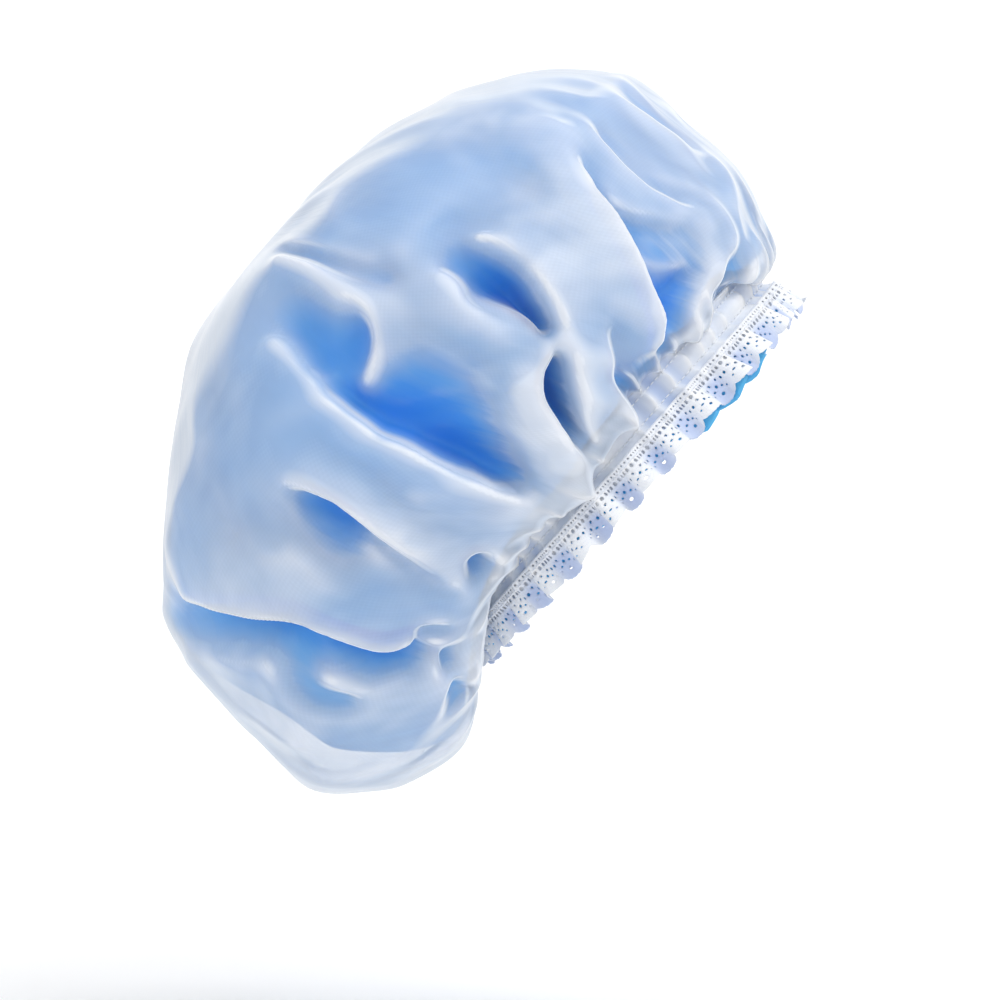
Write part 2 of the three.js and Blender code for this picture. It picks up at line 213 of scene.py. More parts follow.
# The far side has the same folds turned a little in the side view and of other heights.
FAR_TURN = 9
FAR_CENTRE = (470, 420)
FAR_HEIGHT = 0.85
FAR_SPREAD = 1.6
FAR_START = (0, 40)
FAR_PASSES = 8


def smoothstep(value, low, high):
    share = np.clip((value - low) / (high - low), 0, 1)
    return share * share * (3 - 2 * share)


def lerp(start, end, share):
    return start + (end - start) * share


# Turns points about the opening into the cap's own frame, leaned back by the tilt of the hem.
def lean(points):
    tilt = math.radians(HEM_TILT)
    u, v, w = np.moveaxis(np.asarray(points, float), -1, 0)
    forward = u * math.cos(tilt) - w * math.sin(tilt)
    upward = u * math.sin(tilt) + w * math.cos(tilt)
    return np.stack([forward, v, upward], -1)


# Points at given shares of the length of a smooth curve through given points.
CURVE_STEPS = 1200


def curve_points(through, shares):
    through = np.array(through, float)
    padded = np.vstack([through[:1], through, through[-1:]])
    spot = np.linspace(0, len(through) - 1, CURVE_STEPS)
    index = np.minimum(spot.astype(int), len(through) - 2)
    step = (spot - index)[:, None]
    before, start, end, after = (padded[index + k] for k in range(4))
    leave = (end - before) / 2
    arrive = (after - start) / 2
    curve = ((2 * start - 2 * end + leave + arrive) * step**3
             + (3 * end - 3 * start - 2 * leave - arrive) * step**2 + leave * step + start)
    length = np.concatenate([[0], np.cumsum(np.linalg.norm(np.diff(curve, axis=0), axis=1))])
    return np.stack([np.interp(shares * length[-1], length, curve[:, k]) for k in range(2)], -1)


def outline(start, steps, crown, shares):
    points = [(start, TURN_HEIGHT)]
    points += [(start + out, TURN_HEIGHT + up) for out, up in steps]
    points.append((crown, CROWN_HEIGHT))
    return curve_points(points, shares)


# The plain dome: ovals through the front, back and side outlines at one share of each. Their middle
# moves back under the crown over the lower part.
MIDDLE_MOVE_END = 0.4


def dome_rows(angles, shares):
    front = outline(OPENING_LENGTH / 2 + COVER_MIDDLE, FRONT_OUTLINE, -CROWN_BACK, shares)[:, None]
    back = outline(OPENING_LENGTH / 2 + COVER_MIDDLE, BACK_OUTLINE, CROWN_BACK, shares)[:, None]
    side = outline(OPENING_WIDTH / 2 + COVER_MIDDLE, SIDE_OUTLINE, 0, shares)[:, None]
    middle = -CROWN_BACK * smoothstep(shares, 0, MIDDLE_MOVE_END)[:, None]
    along = np.cos(angles)[None]
    reach = np.where(along > 0, front[..., 0] - middle, back[..., 0] + middle)
    level = np.where(along > 0, front[..., 1], back[..., 1])
    return np.stack([
        middle + reach * along,
        side[..., 0] * np.sin(angles)[None],
        side[..., 1] + (level - side[..., 1]) * along**2,
    ], -1)


def hem_ring(angles, out, height):
    return np.stack([
        (OPENING_LENGTH / 2 + out) * np.cos(angles),
        (OPENING_WIDTH / 2 + out) * np.sin(angles),
        height + np.zeros(np.broadcast(angles, out).shape),
    ], -1)


# Steps over two cells of a grid of rings, across and up.
def grid_steps(rows):
    across = np.roll(rows, -1, 1) - np.roll(rows, 1, 1)
    up = np.empty_like(rows)
    up[1:-1] = rows[2:] - rows[:-2]
    up[0] = 2 * (rows[1] - rows[0])
    up[-1] = 2 * (rows[-1] - rows[-2])
    return across, up


def unit(vectors):
    return vectors / np.linalg.norm(vectors, axis=-1, keepdims=True)


# Outward directions of a grid of rings, straight out along the hem rows and square above them.
TURN_ROWS = 6


def outward(rows, hem_count):
    square = unit(np.cross(*grid_steps(rows)))
    straight = unit(rows * np.array([1, 1, 0]))
    mix = np.clip((np.arange(len(rows)) - hem_count + 1) / TURN_ROWS, 0, 1)[:, None, None]
    return unit(straight * (1 - mix) + square * mix)


# Where points of the cap show in the photo, from the near side or mirrored from the far side.
def photo_pixels(points):
    depth = CAMERA_DISTANCE - np.abs(points[..., 1])
    scale = CAMERA_DISTANCE / depth / PIXEL
    return np.stack([
        PHOTO_MIDDLE + (points[..., 0] - AIM[0]) * scale,
        PHOTO_MIDDLE - (points[..., 2] - AIM[2]) * scale,
    ], -1)


# Points at even steps along a guide line, each with its hold, which fades toward the ends.
GUIDE_STEP = 1.5
GUIDE_END = 12
END_HOLD = 0.01


def guide_samples(guide):
    guide = np.array(guide, float)
    steps = np.linalg.norm(np.diff(guide[:, :2], axis=0), axis=1)
    along = np.concatenate([[0], np.cumsum(steps)])
    spots = np.arange(0, along[-1], GUIDE_STEP)
    from_end = np.minimum(spots, along[-1] - spots)
    hold = END_HOLD**(1 - smoothstep(from_end, 0, min(GUIDE_END, along[-1] / 2)))
    return np.stack([*(np.interp(spots, along, guide[:, k]) for k in range(3)), hold], -1)


# A guide line as the far side has it.
def turn_guide(guide):
    turn = math.radians(FAR_TURN)
    across, down, height = np.array(guide, float).T
    across = across - FAR_CENTRE[0]
    down = down - FAR_CENTRE[1]
    return np.stack([
        FAR_CENTRE[0] + across * math.cos(turn) - down * math.sin(turn),
        FAR_CENTRE[1] + across * math.sin(turn) + down * math.cos(turn),
        height * FAR_HEIGHT,
    ], -1)


# Fold heights over the dome: held along the guide lines, and between them the lie of a springy sheet
# that is smooth over a short length, drawn tight over a longer one, and returns to the plain dome.
MIDDLE_FADE = (4, 30)
GUIDE_SPREAD = 5.4
GUIDE_GRIP = 1.5
BASIN_SPREAD = 14
BASIN_GRIP = 0.0022
SPRING_LENGTH = 1.6
RETURN_LENGTH = 75
SHEET_STEPS = 500
SMOOTHING_PASSES = 4
SHORTEST_STEP = 0.4
SHORTEST_PULL = 0.5
OWN_BEND = 1.25


# The fields one row up and one row down, with the end rows kept.
def above_below(field):
    return np.vstack([field[1:], field[-1:]]), np.vstack([field[:1], field[:-1]])


# Means of each point's four neighbours, weighted by how close they are.
def neighbour_mean(field, side_weight, row_weight):
    above, below = above_below(field)
    total = side_weight * (np.roll(field, 1, 1) + np.roll(field, -1, 1)) + row_weight * (above + below)
    return total / (2 * side_weight + 2 * row_weight)


def soften(field, weights, passes):
    for _ in range(passes):
        field = (field + neighbour_mean(field, *weights)) / 2
    return field


def grid_weights(rows):
    side = np.linalg.norm(np.roll(rows, -1, 1) - rows, axis=-1)
    side_step = (side + np.roll(side, 1, 1)) / 2
    row = np.linalg.norm(np.diff(rows, axis=0), axis=-1)
    row_step = np.vstack([row[:1], (row[1:] + row[:-1]) / 2, row[-1:]])
    return [1 / np.maximum(step, SHORTEST_STEP)**2 for step in (side_step, row_step)]


# Where the guide lines hold the sheet: the height asked for and how firmly.
def guide_targets(rows):
    world = lean(rows)
    pixels = photo_pixels(world)
    near = world[..., 1] < 0
    sideways = smoothstep(np.abs(world[..., 1]), *MIDDLE_FADE)
    total = np.zeros(near.shape)
    weight = np.zeros(near.shape)
    folds = FRONT_RIDGES + FRONT_VALLEYS + MIDDLE_RIDGES + MIDDLE_VALLEYS + BACK_RIDGES + BACK_VALLEYS
    kinds = ((folds, GUIDE_SPREAD, GUIDE_GRIP), (BASINS, BASIN_SPREAD, BASIN_GRIP))
    for on_side, shape, widen in ((near, np.array, 1), (~near, turn_guide, FAR_SPREAD)):
        spots = np.argwhere(on_side)
        places = pixels[on_side]
        for guides, width, grip in kinds:
            spread = width * widen
            samples = np.concatenate([guide_samples(shape(guide)) for guide in guides])
            for across, down, height, hold in samples:
                distance = (places[:, 0] - across)**2 + (places[:, 1] - down)**2
                close = np.flatnonzero(distance < (2 * spread)**2)
                share = grip * hold * np.exp(-2 * distance[close] / spread**2)
                touched = tuple(spots[close].T)
                np.add.at(total, touched, share * height)
                np.add.at(weight, touched, share)
    return sideways * total / np.maximum(weight, 1e-9), weight


# The lie of the sheet, with the hem rows and the first row of the dome held at nothing.
def fold_heights(rows, first_dome_row):
    target, grip = guide_targets(rows)
    side = np.linalg.norm(np.roll(rows, -1, 1) - rows, axis=-1)
    side_step = np.maximum((side + np.roll(side, 1, 1)) / 2, SHORTEST_PULL)
    row = np.maximum(np.linalg.norm(np.diff(rows, axis=0), axis=-1), SHORTEST_PULL)
    row_step = np.vstack([row[:1], (row[1:] + row[:-1]) / 2, row[-1:]])
    area = side_step * row_step
    side_pull = (row_step + np.roll(row_step, -1, 1)) / 2 / np.maximum(side, SHORTEST_PULL)
    row_pull = (side_step[1:] + side_step[:-1]) / 2 / row

    def bend(field):
        across = side_pull * (np.roll(field, -1, 1) - field)
        up = row_pull * np.diff(field, axis=0)
        result = np.roll(across, 1, 1) - across
        result[:-1] -= up
        result[1:] += up
        return result

    free = np.ones(area.shape)
    free[:first_dome_row + 1] = 0
    hold = area * (RETURN_LENGTH**-2 + grip)

    def resist(field):
        field = field * free
        curl = bend(field)
        spring = SPRING_LENGTH**2 * bend(curl / area) + curl
        return free * (spring + hold * field)

    own_pull = side_pull + np.roll(side_pull, 1, 1)
    own_pull[:-1] += row_pull
    own_pull[1:] += row_pull
    scale = SPRING_LENGTH**2 * OWN_BEND * own_pull**2 / area + own_pull + hold

    # Conjugate gradients toward the heights at which the sheet is at rest.
    heights = np.zeros(area.shape)
    residue = free * area * grip * target
    direction = residue / scale
    push = (residue * direction).sum()
    for _ in range(SHEET_STEPS):
        answer = resist(direction)
        size = push / (direction * answer).sum()
        heights += size * direction
        residue -= size * answer
        better = residue / scale
        next_push = (residue * better).sum()
        direction = better + direction * next_push / push
        push = next_push
    return heights


# Tangential lean of each fold toward its steep side, so its lip hangs over the pocket.
LIP_LEAN = 0.3
LIP_LEAN_MOST = 4
SLOPE_PASSES = 30
LEAN_PASSES = 8
SHORTEST_SQUARE = 1.0


def lip_shift(rows, heights, weights):
    soft = soften(heights, weights, SLOPE_PASSES)
    across, up = grid_steps(rows)
    across_rise = np.roll(soft, -1, 1) - np.roll(soft, 1, 1)
    up_rise = np.zeros_like(soft)
    up_rise[1:-1] = soft[2:] - soft[:-2]
    slope = sum(step * (rise / np.maximum((step**2).sum(-1), SHORTEST_SQUARE))[..., None]
                for step, rise in ((across, across_rise), (up, up_rise)))
    shift = -LIP_LEAN * np.maximum(heights, 0)[..., None] * slope
    size = np.linalg.norm(shift, axis=-1, keepdims=True)
    shift = shift * np.minimum(1, LIP_LEAN_MOST / np.maximum(size, 1e-6))
    return np.stack([soften(shift[..., k], weights, LEAN_PASSES) for k in range(3)], -1)


# Small pleats that the elastic draws in: standing out from the channel, nipped in by its two rows
# of thread, and fading out up the dome.
PLEAT_WAVES = [(25, 0.4, 1.0), (32, 2.1, 0.8), (19, 4.4, 0.7)]
PLEAT_HEIGHT = 5.2
PLEAT_SHARPNESS = 1.5
PLEAT_FADE = 0.13
NIPPED_SHARE = 0.4
FREE_BELOW = 5
EDGE_LOSS = 0.6
EDGE_FADE = (2, 10)


def pleats(angles):
    wave = sum(size * np.cos(count * angles + start) for count, start, size in PLEAT_WAVES)
    wave = wave / sum(size for _, _, size in PLEAT_WAVES)
    return (1 - np.abs(wave))**PLEAT_SHARPNESS


def nipped(level):
    free = np.abs(np.sin(math.pi * np.clip(level, 0, CHANNEL_HEIGHT) / CHANNEL_HEIGHT))
    below = smoothstep(-level, 0, FREE_BELOW)
    above = smoothstep(level, CHANNEL_HEIGHT, TURN_HEIGHT)
    return lerp(NIPPED_SHARE, 1, np.maximum(np.maximum(free, below), above))


# How far the cover stands out from its plain hem at an angle and a height along the hem.
def hem_out(angles, level):
    kept = 1 - EDGE_LOSS * smoothstep(-level, *EDGE_FADE)
    pleat = PLEAT_HEIGHT * nipped(level) * pleats(angles) * kept
    return hem_flare(level) + pleat + ruffle(angles, lace_share(level))


# Ruffle of the free hem edge: waves of uneven width and depth, deepest at the edge. Each row below
# is the count, the start and the size of one sway in them.
RUFFLE_DRIFT = [(5, 1.1, 0.5), (9, 2.7, 0.35), (14, 0.3, 0.25)]
RUFFLE_UNEVEN = [(7, 0.8, 0.28), (13, 2.2, 0.22)]
RUFFLE_ENDS = (0.4, 0.95)
RUFFLE_POWER = 0.75
RUFFLE_MOST = 1.2


def sways(angles, rows):
    return sum(size * np.sin(count * angles + start) for count, start, size in rows)


def ruffle_phase(angles):
    return RUFFLE_COUNT * angles + sways(angles, RUFFLE_DRIFT)


# How far a place lies on the crest of its wave, from 0 in the trough to 1.
def wave_crest(angles):
    return (1 + np.cos(ruffle_phase(angles))) / 2


def ruffle(angles, share):
    end = smoothstep(np.abs(np.cos(angles)), *RUFFLE_ENDS)
    depth = lerp(RUFFLE_DEPTH, END_RUFFLE_DEPTH, end) * (1 + sways(angles, RUFFLE_UNEVEN))
    return depth * share * wave_crest(angles)


def hem_flare(height):
    return HEM_FLARE * np.clip(-height / COVER_HEM, 0, 1)


def lace_share(height):
    return np.clip(-height / (LACE_TOP + LACE_WIDTH), 0, RUFFLE_MOST)**RUFFLE_POWER


# Sideways sway of the free hem, which makes each wave wider at its crest than at its neck.
WAVE_LOOP = 0.42


def hem_sway(angles, level):
    return WAVE_LOOP * lace_share(level) * np.sin(2 * ruffle_phase(angles)) / RUFFLE_COUNT


# Slight soft creases of stiff cloth, worked out on the flat round cut that it is sewn from.
CUT_RADIUS = 280
CRUMPLE_SEED = 7
CRUMPLE_WAVES = 36
CRUMPLE_LENGTHS = (34, 110)
CRUMPLE_HEIGHT = 1.4
CRUMPLE_SOFTNESS = 0.5
CRUMPLE_START = (0.03, 0.14)


def cut_places(angles, shares):
    turn, share = np.broadcast_arrays(angles, shares)
    radius = CUT_RADIUS * (1 - share)
    return radius * np.cos(turn), radius * np.sin(turn)


def crumple(angles, shares):
    across, up = cut_places(angles, shares)
    chance = np.random.default_rng(CRUMPLE_SEED)
    field = np.zeros(across.shape)
    for _ in range(CRUMPLE_WAVES):
        heading, start = chance.uniform(0, 2 * math.pi, 2)
        length = chance.uniform(*CRUMPLE_LENGTHS)
        distance = across * math.cos(heading) + up * math.sin(heading)
        field += np.cos(2 * math.pi * distance / length + start)
    crease = 1 - np.hypot(field / math.sqrt(CRUMPLE_WAVES / 2), CRUMPLE_SOFTNESS)
    return CRUMPLE_HEIGHT * crease * smoothstep(shares, *CRUMPLE_START)


def full_turn(count):
    return np.arange(count) * 2 * math.pi / count


# The cover's grid: rows up from the hem's edge to the crown, with columns closer on the near side.
turns = full_turn(COLUMNS)
angles = turns - COLUMN_CROWDING * np.cos(turns)
shares = (np.arange(DOME_ROWS) / DOME_ROWS)**ROW_CROWDING
hem_levels = np.array(HEM_ROWS, float)
hem_count = len(HEM_ROWS)
hem_rows = np.stack([hem_ring(angles + hem_sway(angles, level), COVER_MIDDLE, level)
                     for level in hem_levels])
plain = np.concatenate([hem_rows, dome_rows(angles, shares)])
out_of_plain = outward(plain, hem_count)
row_share = np.concatenate([np.zeros(hem_count), shares])[:, None]
weights = grid_weights(plain)
heights = soften(fold_heights(plain, hem_count), weights, SMOOTHING_PASSES)
far_share = smoothstep(lean(plain)[..., 1], *FAR_START)
for _ in range(FAR_PASSES):
    heights = lerp(heights, neighbour_mean(heights, *weights), far_share / 2)
heights = heights + crumple(angles[None], row_share)
shift = lip_shift(plain, heights, weights)

pleat_fade = 1 - smoothstep(row_share, 0, PLEAT_FADE)
cover_out = heights + PLEAT_HEIGHT * pleat_fade * pleats(angles)[None]
cover_out[:hem_count] = np.stack([hem_out(angles, level) for level in hem_levels])
cover_rows = plain + out_of_plain * cover_out[..., None] + shift


def add_object(name, data):
    piece = bpy.data.objects.new(name, data)
    bpy.context.scene.collection.objects.link(piece)
    return piece


def new_mesh(name, points, edges=(), faces=()):
    mesh = bpy.data.meshes.new(name)
    mesh.from_pydata(np.asarray(points).tolist(), edges, faces)
    mesh.shade_smooth()
    return mesh


# Makes a mesh object in metres from a closed grid of rings, with a crown point if one is given.
def ring_mesh(name, rows, crown=None):
    row_count, column_count = rows.shape[:2]
    points = lean(rows).reshape(-1, 3)
    index = np.arange(row_count * column_count).reshape(row_count, column_count)
    after = np.roll(index, -1, 1)
    quads = np.stack([index[:-1], after[:-1], after[1:], index[1:]], -1).reshape(-1, 4)
    faces = quads.tolist()
    if crown is not None:
        points = np.vstack([points, lean(crown)[None]])
        top = len(points) - 1
        faces += [(a, b, top) for a, b in zip(index[-1], after[-1])]
    mesh = new_mesh(name, points * MM, faces=faces)
    mesh.validate()
    return add_object(name, mesh)


def add_attribute(piece, name, values, kind="FLOAT", key="value"):
    attribute = piece.data.attributes.new(name, kind, "POINT")
    attribute.data.foreach_set(key, np.asarray(values, np.float32).ravel())


# Places on the flat round cut that the cloth is sewn from, and places in strips up from the hem.
STRIP_STRETCH = 0.25


def add_cut_places(piece, angles, shares):
    turn, share = np.broadcast_arrays(angles[None], shares)
    across, up = cut_places(turn, share)
    flat = MM * np.stack([across, up, 0 * up], -1)
    strips = np.stack([np.cos(turn), np.sin(turn), STRIP_STRETCH * share], -1)
    for name, places, crown in (("cut", flat, (0, 0, 0)), ("strips", strips, (0, 0, STRIP_STRETCH))):
        add_attribute(piece, name, np.vstack([places.reshape(-1, 3), crown]), "FLOAT_VECTOR", "vector")


def thicken(piece, thickness):
    solid = piece.modifiers.new("thickness", "SOLIDIFY")
    solid.thickness = thickness * MM
    solid.offset = 0


# How sharply the cloth bends outward, from 0 on flats and in pockets to 1 on a tight fold, and how
# close it lies to such a bend.
CREST_RADIUS = 7.5
CREST_PASSES = 4
BESIDE_PASSES = 24
BESIDE_GAIN = 2


def crest_sharpness(rows):
    weights = grid_weights(rows)
    pull = np.stack([neighbour_mean(rows[..., k], *weights) for k in range(3)], -1) - rows
    bend = -(pull * outward(rows, 1)).sum(-1) * (weights[0] + weights[1])
    bend[[0, -1]] = 0
    crest = np.clip(soften(bend, weights, CREST_PASSES) * CREST_RADIUS, 0, 1)
    return crest, np.clip(BESIDE_GAIN * soften(crest, weights, BESIDE_PASSES), 0, 1)


# The cover, with what its cloth needs to know: how far it stands off the plain dome, how white its
# hem is, where it is pleated, bent and drawn up, and its places on the cut.
WHITE_SHARES = (0.0, 0.035)
WHITE_DEPTHS = (2, 9)
DRAWN_SHARES = (0.05, 0.6)
crown_height = heights[-1].mean()
crown_point = np.array([-CROWN_BACK, 0, CROWN_HEIGHT + crown_height])
cover = ring_mesh("gathered_cover", cover_rows, crown_point)
# The white hem leaves out the deep pockets near it, so they keep the painted shade of the pocket
# colours.
hem_whiteness = (1 - smoothstep(row_share, *WHITE_SHARES)) * (1 - smoothstep(-heights, *WHITE_DEPTHS))
hem_whiteness[:hem_count] = 1
drawn = np.tile(1 - smoothstep(row_share, *DRAWN_SHARES), (1, COLUMNS))
pleated = np.tile(pleats(angles), (len(plain), 1))
crest, beside_crest = crest_sharpness(cover_rows)
for name, values, at_crown in (("stand_off", heights, crown_height), ("hem", hem_whiteness, 0),
                               ("pleat", pleated, 0), ("crest", crest, 0),
                               ("beside_crest", beside_crest, 0), ("drawn", drawn, 0)):
    add_attribute(cover, name, np.append(values, at_crown))
add_cut_places(cover, angles, row_share)

# The liner: the same cut a little inside, smoother, with a frill below the lace.
LINER_FOLLOW = 0.7
LINER_DROP = 3.2
LAYER_STEP = COVER_MIDDLE - LINER_MIDDLE
LINER_SOFT_PASSES = 150
LINER_EVEN_PASSES = 6
LINER_FALL = 0.06
LINER_HEM_ROWS = 8
LINER_EVERY = 2
ROLL_INSET = 16
ROLL_SHARES = (0.1, 0.56)
ROLL_BEHIND = (0.5, 0.9)
FRILL_ROWS = 14
FRILL_TOP = 1.5
FRILL_LENGTH = 0.64
FOREHEAD_LENGTH = 0.24
FOREHEAD_START = (0.15, 0.35)
FOREHEAD_END = (0.72, 0.86)
FRILL_WAVE = (2, 0.05)
FRILL_NICKS = (41, 0, 0.02)
FRILL_FLARE = 0.9
FRILL_RUFFLE = 0.8


# How far the liner stays inside the cover's low roll behind the nape.
def roll_inset(angles, shares):
    start, end = ROLL_SHARES
    along = np.sin(math.pi * np.clip((shares - start) / (end - start), 0, 1))
    return ROLL_INSET * smoothstep(-np.cos(angles), *ROLL_BEHIND) * along**2


# The lowest of a field over each point and its neighbours, which a coarser sheet below stays under.
def lowest_near(field):
    low = np.minimum(np.minimum(np.roll(field, 1, 1), np.roll(field, -1, 1)), field)
    above, below = above_below(low)
    return np.minimum(np.minimum(above, below), low)


soft_heights = soften(heights, weights, LINER_SOFT_PASSES)
farthest_out = lowest_near(heights) - LAYER_STEP
liner_out = np.minimum(soft_heights * LINER_FOLLOW - LINER_DROP, farthest_out)
for _ in range(LINER_EVEN_PASSES):
    liner_out = np.minimum(soften(liner_out, weights, 1), farthest_out)
fall = smoothstep(row_share, 0, LINER_FALL)
liner_out = np.minimum(lerp(-LAYER_STEP, liner_out, fall), farthest_out)
liner_out = np.where(row_share > 0, liner_out, -LAYER_STEP)
liner_out = liner_out - roll_inset(angles[None], row_share)
kept_rows = slice(hem_count - LINER_HEM_ROWS, None, LINER_EVERY)
kept_columns = slice(None, None, LINER_EVERY)
liner_rows = (plain + out_of_plain * liner_out[..., None] + shift)[kept_rows, kept_columns]


# Rows of the free frill, longest over the forehead, with a waved and slightly nicked edge.
def liner_frill(angles):
    forward = np.cos(angles)
    forehead = smoothstep(forward, *FOREHEAD_START) * (1 - smoothstep(forward, *FOREHEAD_END))
    start, size = FRILL_WAVE
    length = FRILL_LENGTH + FOREHEAD_LENGTH * forehead + size * np.cos(ruffle_phase(angles) + start)
    length = length + sways(angles, [FRILL_NICKS])
    rows = []
    for level in np.linspace(-LINER_FRILL, -FRILL_TOP, FRILL_ROWS):
        out = FRILL_FLARE * hem_flare(level) + FRILL_RUFFLE * ruffle(angles, lace_share(level))
        rows.append(hem_ring(angles + hem_sway(angles, level), LINER_MIDDLE + out, level * length))
    return np.stack(rows)


liner_angles = angles[kept_columns]
frill_rows = liner_frill(liner_angles)
liner_crown = np.array([-CROWN_BACK, 0, CROWN_HEIGHT + liner_out[-1].mean()])
liner = ring_mesh("film_liner", np.concatenate([frill_rows, liner_rows]), liner_crown)
frill = np.concatenate([np.ones(frill_rows.shape[:2]), np.zeros(liner_rows.shape[:2])])
# Heights of the cover over the liner, which the liner's colour turns into painted shade under the
# pockets.
under = np.concatenate([np.zeros(frill_rows.shape[:2]), heights[kept_rows, kept_columns]])
add_attribute(liner, "frill", np.append(frill, 0))
add_attribute(liner, "under", np.append(under, 0))
add_cut_places(liner, liner_angles, np.vstack([np.zeros((FRILL_ROWS, 1)), row_share[kept_rows]]))
thicken(liner, LINER_SHEET)


# The lace: one pierced repeat, worked flat, with a ladder of openings and an eyelet in its scallop.
# Each hole is a share along the repeat, a distance from its top, a half width and a half height.
LACE_REPEATS = 2 * RUFFLE_COUNT
LACE_PITCH = 13.0
LACE_SHEET = 0.4
LACE_WELD = 0.02
WAVE_LIFT = 2.6
REPEAT_CELLS = (18, 24)
SCALLOP_DEPTH = 2.6
SCALLOP_ROUNDNESS = 0.7
SCALLOP_START = 0.5
PICOT_DEPTH = 0.35
PICOTS = 7
HOLE_CORE = 0.35
EDGE_HOLES = [((k + 0.5) / 6, 1.6, 0.5, 0.5) for k in range(6)]
LADDER_HOLES = [((k + 0.5) / 5, 4.5, 0.75, 1.0) for k in range(5)]
LEAF_HOLES = [(0.12, 8.4, 0.7, 0.8), (0.34, 7.4, 0.6, 0.7), (0.66, 7.4, 0.6, 0.7),
              (0.88, 8.4, 0.7, 0.8)]
PETAL_HOLES = [(0.5, 9.6, 0.55, 0.8), (0.34, 10.9, 0.75, 0.5), (0.66, 10.9, 0.75, 0.5)]
EYELETS = [(0.5, 13.6, 0.75, 0.75), (0.2, 12.4, 0.5, 0.5), (0.8, 12.4, 0.5, 0.5)]


def lace_repeat():
    along, down = (np.linspace(0, 1, cells + 1) for cells in REPEAT_CELLS)
    x, share = np.meshgrid(along, down, indexing="ij")
    edge = LACE_WIDTH - SCALLOP_DEPTH * (1 - np.abs(np.sin(math.pi * x))**SCALLOP_ROUNDNESS)
    edge = edge - PICOT_DEPTH * (1 - np.cos(2 * math.pi * PICOTS * x)) / 2
    y = share * LACE_WIDTH + (edge - LACE_WIDTH) * smoothstep(share, SCALLOP_START, 1.0)
    points = np.stack([x * LACE_PITCH, y], -1)
    centre = (points[:-1, :-1] + points[1:, :-1] + points[1:, 1:] + points[:-1, 1:]) / 4
    kept = np.ones(centre.shape[:2], bool)
    for spot, level, *half in EDGE_HOLES + LADDER_HOLES + LEAF_HOLES + PETAL_HOLES + EYELETS:
        middle = np.array([spot * LACE_PITCH, level])
        pierced = (((centre - middle) / half)**2).sum(-1) < 1
        rim = np.zeros(x.shape, bool)
        for row in (0, 1):
            for column in (0, 1):
                rim[row:row + REPEAT_CELLS[0], column:column + REPEAT_CELLS[1]] |= pierced
        distance = np.sqrt((((points - middle) / half)**2).sum(-1))
        rim &= distance > HOLE_CORE
        points[rim] = middle + (points[rim] - middle) / distance[rim][:, None]
        kept &= ~pierced
    points[0, :, 0] = 0
    points[-1, :, 0] = LACE_PITCH
    index = np.arange(x.size).reshape(x.shape)
    faces = np.stack([index[:-1, :-1], index[:-1, 1:], index[1:, 1:], index[1:, :-1]], -1)[kept]
    used, renumbered = np.unique(faces, return_inverse=True)
    flat = np.append(points.reshape(-1, 2)[used], np.zeros((len(used), 1)), 1)
    return new_mesh("lace_repeat", flat * MM, faces=renumbered.reshape(faces.shape).tolist())


# Node helpers: an input is linked where it is given a socket, and set where it is given a value.
def feed(tree, socket, value):
    if isinstance(value, bpy.types.NodeSocket):
        tree.links.new(value, socket)
    else:
        socket.default_value = value


def feed_all(tree, node, **inputs):
    for name, value in inputs.items():
        feed(tree, node.inputs[name.replace("_", " ")], value)


def add_node(tree, kind, **inputs):
    node = tree.nodes.new(kind)
    feed_all(tree, node, **inputs)
    return node


def add_input(tree, name, kind, value=None):
    socket = tree.interface.new_socket(name, in_out="INPUT", socket_type=kind)
    if value is not None:
        socket.default_value = value


# Geometry trees, each with the geometry and a material as inputs.
def geometry_tree(name):
    tree = bpy.data.node_groups.new(name, "GeometryNodeTree")
    add_input(tree, "Geometry", "NodeSocketGeometry")
    add_input(tree, "Material", "NodeSocketMaterial")
    tree.interface.new_socket("Geometry", in_out="OUTPUT", socket_type="NodeSocketGeometry")
    return tree


def finish_tree(tree, given, instances):
    realize = add_node(tree, "GeometryNodeRealizeInstances", Geometry=instances)
    paint = add_node(tree, "GeometryNodeSetMaterial", Geometry=realize.outputs["Geometry"],
                     Material=given["Material"])
    add_node(tree, "NodeGroupOutput", Geometry=paint.outputs["Geometry"])


# A flat strip of repeats side by side.
def strip_tree():
    tree = geometry_tree("lace_strip")
    add_input(tree, "Repeats", "NodeSocketInt", LACE_REPEATS)
    add_input(tree, "Pitch", "NodeSocketFloat", LACE_PITCH * MM)
    given = tree.nodes.new("NodeGroupInput").outputs
    step = add_node(tree, "ShaderNodeCombineXYZ", X=given["Pitch"])
    line = add_node(tree, "GeometryNodeMeshLine", Count=given["Repeats"], Offset=step.outputs["Vector"])
    place = add_node(tree, "GeometryNodeInstanceOnPoints", Points=line.outputs["Mesh"],
                     Instance=given["Geometry"])
    finish_tree(tree, given, place.outputs["Instances"])
    return tree


# Stitches laid end to end along a path.
STITCH_PITCH = 2.8
STITCH_SIZE = (1.15, 0.3, 0.3)
STITCH_SEGMENTS = 6
STITCH_RINGS = 5


